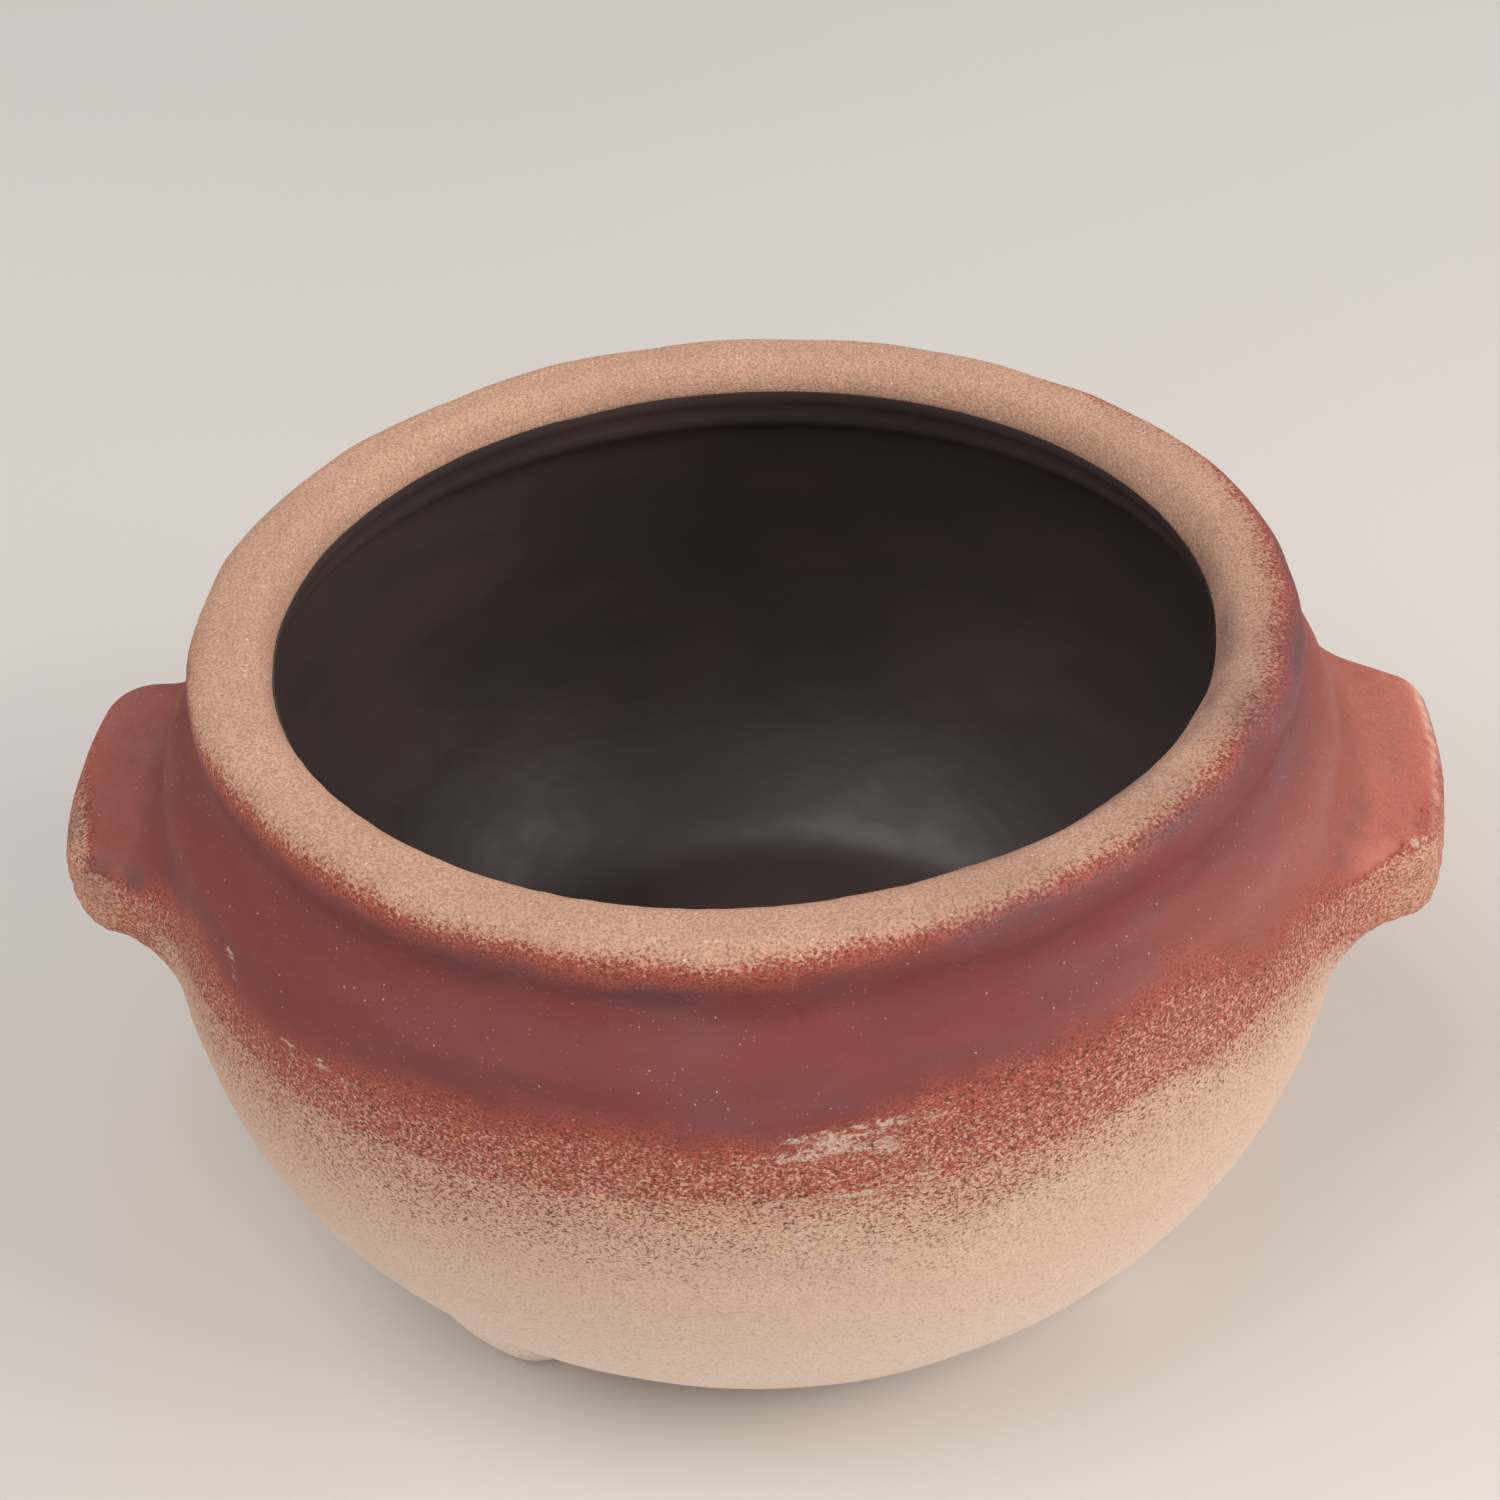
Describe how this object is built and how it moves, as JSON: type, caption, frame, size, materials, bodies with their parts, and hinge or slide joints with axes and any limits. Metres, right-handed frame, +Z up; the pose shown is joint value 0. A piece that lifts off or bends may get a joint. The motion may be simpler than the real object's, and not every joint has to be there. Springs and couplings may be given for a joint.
{
  "type": "clay cooking pot",
  "caption": "Small round-bellied earthenware cooking pot with a thick rolled rim, solid side lugs, pad feet, a red slip on its upper half and a dark glaze inside.",
  "frame": {"origin": "on the pot's axis, at the level of the feet's soles", "axes": "+Z up through the mouth, +X towards the right lug seen from the front, front towards -Y"},
  "size_m": [0.219, 0.189, 0.1085],
  "materials": {
    "buff_clay": "matte, sandy",
    "red_slip": "matte, smooth slip",
    "rim_clay": "matte, coarse sandy",
    "dark_glaze": "satin"
  },
  "bodies": {
    "root": {"lower_bowl": "buff_clay", "shoulder": "red_slip", "rim": "rim_clay", "lug_left": "red_slip", "lug_right": "red_slip", "foot_front_left": "buff_clay", "foot_front_right": "buff_clay", "foot_back_left": "buff_clay", "foot_back_right": "buff_clay", "glaze_lining": "dark_glaze"}
  },
  "joints": []
}
